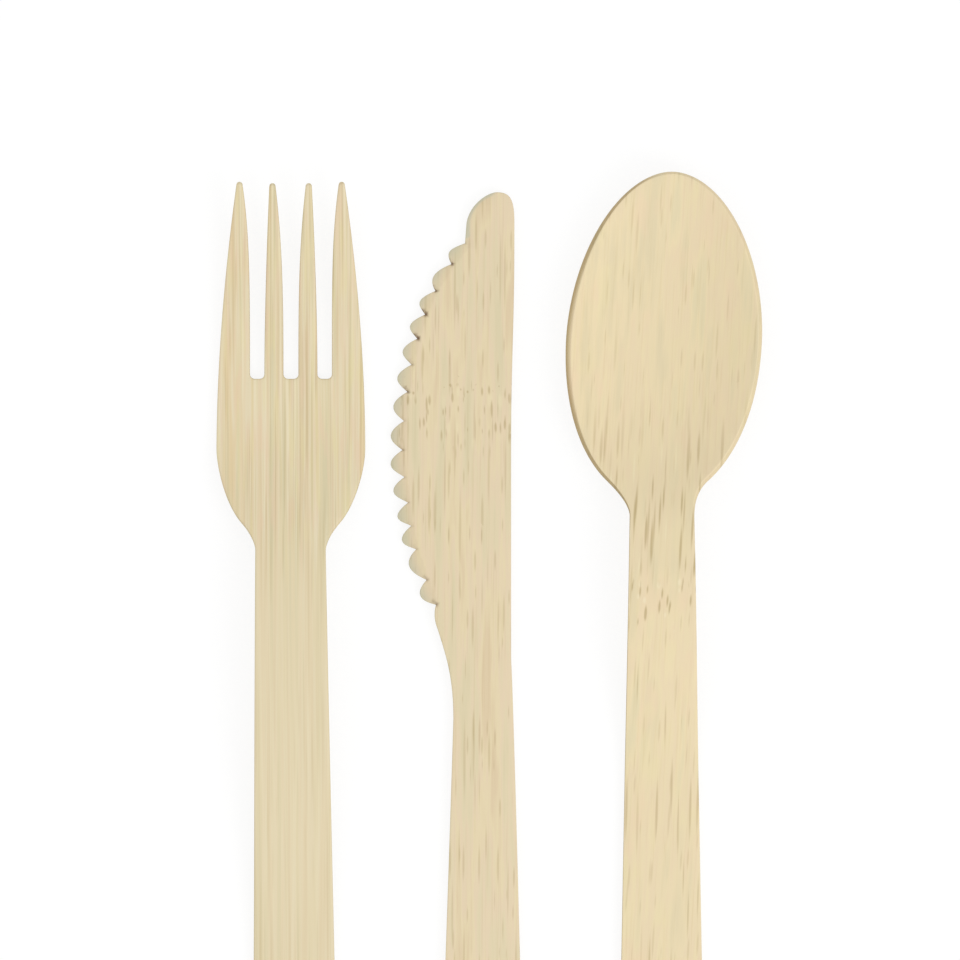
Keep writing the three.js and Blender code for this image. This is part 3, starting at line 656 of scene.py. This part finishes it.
SPOON_LEAN, SPOON_DASH_LEAN, NECK_LEAN, HANDLE_LEAN, SPOON_NODE_LEAN = -3.2, -3.4, -3.0, -1.5, -4
SPOON_LAYERS = [(0.32, (0.77, 0.66, 0.43)), (0.43, (0.83, 0.70, 0.45)), (0.51, (0.82, 0.68, 0.45)),
                (0.59, (0.84, 0.71, 0.45)), (0.69, (0.78, 0.68, 0.44))]
SPOON_THREAD, NECK_DARKER, NECK_PALE = (0.92, 0.90, 0.84), (0.76, 0.64, 0.42), (0.88, 0.79, 0.52)
# The second colour here is painted shade, laid on the cut faces that look left.
SPOON_NODE_PALE, RIM_PAINTED_SHADE = (0.90, 0.80, 0.56), (0.68, 0.63, 0.53)
# The node of the cane, and where the dark fibre ends of the neck and the handle fade: places in metres.
SPOON_NODE = 0.0085
ABOVE_NODE_FROM, ABOVE_NODE_FULL_AT = 0.0125, 0.0155
NECK_FROM, NECK_FULL_AT = 0.050, 0.026
HANDLE_FROM, HANDLE_FULL_AT = 0.006, 0.000
# Soft patches: shift and colour.
SPOON_PATCHES = [(39, (0.85, 0.665, 0.45)), (40, (0.83, 0.72, 0.43))]
# Faint fibre ends all over: length and shift.
SPOON_DASHES = [(4.5, 23), (7.5, 29)]
# Dark fibre ends on the neck: length, width, strength and shift.
NECK_DASHES = [(10, 0.6, 0.66, 24), (7, 0.55, 0.64, 25), (13, 0.55, 0.5, 30)]


def facing_left(wood):
    """How much a surface looks left."""
    surface = wood.node_tree.nodes.new("ShaderNodeNewGeometry")
    return rising(wood, part_of(wood, surface.outputs["Normal"], "X"), -0.2, -0.6)


spoon_grain = bamboo("bamboo_flat_grain_spoon")
along = place_on(spoon_grain, "Y")
above_node = rising(spoon_grain, along, ABOVE_NODE_FROM, ABOVE_NODE_FULL_AT)
neck = joined(spoon_grain, "MULTIPLY", rising(spoon_grain, along, NECK_FROM, NECK_FULL_AT), above_node)
handle = rising(spoon_grain, along, HANDLE_FROM, HANDLE_FULL_AT)
layers = streaks(spoon_grain, across=2.6, along=26, shift=21, lean=SPOON_LEAN, detail=3)
ground = tints(spoon_grain, layers, SPOON_LAYERS)
for shift, colour in SPOON_PATCHES:
    patches = streaks(spoon_grain, across=4, along=10, shift=shift, lean=SPOON_LEAN)
    ground = stain(spoon_grain, ground, rising(spoon_grain, patches, 0.52, 0.70, most=0.45), colour)
threads = streaks(spoon_grain, across=0.3, along=14, shift=22, lean=SPOON_LEAN, detail=3)
thin_lines = rising(spoon_grain, threads, 0.50, 0.74, most=0.55)
ground = stain(spoon_grain, ground, thin_lines, SPOON_THREAD, "MULTIPLY")
for length, shift in SPOON_DASHES:
    marks = dashes(spoon_grain, length, width=0.45, spread=2.9, shift=shift, lean=SPOON_DASH_LEAN, share=0.55)
    ground = marked(spoon_grain, ground, marks, 0.24, DARK_FIBRE)
# The neck is laid a little darker.
ground = marked(spoon_grain, ground, neck, 0.4, NECK_DARKER)
pale = dashes(spoon_grain, length=9, width=0.6, spread=2.6, shift=36, lean=NECK_LEAN, share=0.8)
ground = marked(spoon_grain, ground, pale, 0.55, NECK_PALE, neck)
for length, width, strength, shift in NECK_DASHES:
    marks = dashes(spoon_grain, length, width, spread=2.5, shift=shift, lean=NECK_LEAN, share=0.95)
    ground = marked(spoon_grain, ground, marks, strength, DARK_FIBRE, neck)
marks = dashes(spoon_grain, length=12, width=0.5, spread=2.7, shift=26, lean=HANDLE_LEAN, share=0.7)
ground = marked(spoon_grain, ground, marks, 0.45, DARK_FIBRE, handle)
node = at_node(spoon_grain, SPOON_NODE, reach=4.8, shift=28)
pale = dashes(spoon_grain, length=1.6, width=0.8, spread=2.4, shift=37, lean=SPOON_NODE_LEAN, share=0.7)
ground = marked(spoon_grain, ground, pale, 0.5, SPOON_NODE_PALE, node)
for shift in (27, 35):
    marks = dashes(spoon_grain, length=3.0, width=0.55, spread=2.4, shift=shift, lean=SPOON_NODE_LEAN,
                   share=0.6)
    ground = marked(spoon_grain, ground, marks, 0.66, DARK_FIBRE, node)
ground = edged(spoon_grain, ground)
# Painted shade: the cut faces that look left are darkened, as if the light came from the right.
left_rim_painted_shade = joined(spoon_grain, "MULTIPLY", cut_faces(spoon_grain), facing_left(spoon_grain))
finish(spoon_grain, stain(spoon_grain, ground, left_rim_painted_shade, RIM_PAINTED_SHADE, "MULTIPLY"), threads)
lay("spoon", spoon, spoon_grain)

# The table is a plain white sheet under soft light from all round. One large soft lamp stands low
# on the right, and the camera looks straight down, framed so that the handles run out of the
# picture. The sheet shows its own even white to the camera, with a trace of the set's shadow.
TABLE_SIZE, TABLE_LEVEL = 6, -0.0003
TABLE_WHITE, TABLE_ROUGHNESS = 0.9, 0.9
OWN_WHITE, SHADOW_WHITE = 0.85, 0.17
SKY_STRENGTH = 0.84
LAMP_SIZE, LAMP_POWER, LAMP_PLACE = 0.9, 6.5, (1.0, -0.75, 1.1)
SENSOR, CAMERA_AWAY, PICTURE_WIDTH = 36, 2.0, 0.17472
CAMERA_PLACE = (-0.00166, 0.0307, 2.0035)

bpy.ops.mesh.primitive_plane_add(size=TABLE_SIZE, location=(0, 0, TABLE_LEVEL))
table = bpy.context.object
table.name = "table"
white = bpy.data.materials.new("white_table")
white.use_nodes = True
nodes, links = white.node_tree.nodes, white.node_tree.links
matt = nodes["Principled BSDF"]
matt.inputs["Base Color"].default_value = (TABLE_WHITE, TABLE_WHITE, TABLE_WHITE, 1)
matt.inputs["Roughness"].default_value = TABLE_ROUGHNESS
glow = nodes.new("ShaderNodeEmission")
glow.inputs["Strength"].default_value = OWN_WHITE
paper = nodes.new("ShaderNodeBsdfDiffuse")
paper.inputs["Color"].default_value = (SHADOW_WHITE, SHADOW_WHITE, SHADOW_WHITE, 1)
seen = nodes.new("ShaderNodeAddShader")
links.new(glow.outputs[0], seen.inputs[0])
links.new(paper.outputs[0], seen.inputs[1])
rays = nodes.new("ShaderNodeLightPath")
choice = nodes.new("ShaderNodeMixShader")
links.new(rays.outputs["Is Camera Ray"], choice.inputs[0])
links.new(matt.outputs[0], choice.inputs[1])
links.new(seen.outputs[0], choice.inputs[2])
links.new(choice.outputs[0], nodes["Material Output"].inputs["Surface"])
table.data.materials.append(white)

world = bpy.data.worlds.new("studio")
bpy.context.scene.world = world
world.use_nodes = True
world.node_tree.nodes["Background"].inputs["Color"].default_value = (1, 1, 1, 1)
world.node_tree.nodes["Background"].inputs["Strength"].default_value = SKY_STRENGTH

lamp = bpy.data.lights.new("soft_lamp", "AREA")
lamp.shape = "DISK"
lamp.size = LAMP_SIZE
lamp.energy = LAMP_POWER
lamp_object = bpy.data.objects.new("soft_lamp", lamp)
lamp_object.location = LAMP_PLACE
lamp_object.rotation_euler = (-Vector(LAMP_PLACE)).to_track_quat("-Z", "Y").to_euler()
bpy.context.scene.collection.objects.link(lamp_object)

view = bpy.data.cameras.new("camera")
view.sensor_width = SENSOR
view.lens = SENSOR * CAMERA_AWAY / PICTURE_WIDTH
view.clip_end = 20
camera = bpy.data.objects.new("camera", view)
camera.location = CAMERA_PLACE
bpy.context.scene.collection.objects.link(camera)
bpy.context.scene.camera = camera
bpy.context.scene.view_settings.view_transform = "Standard"
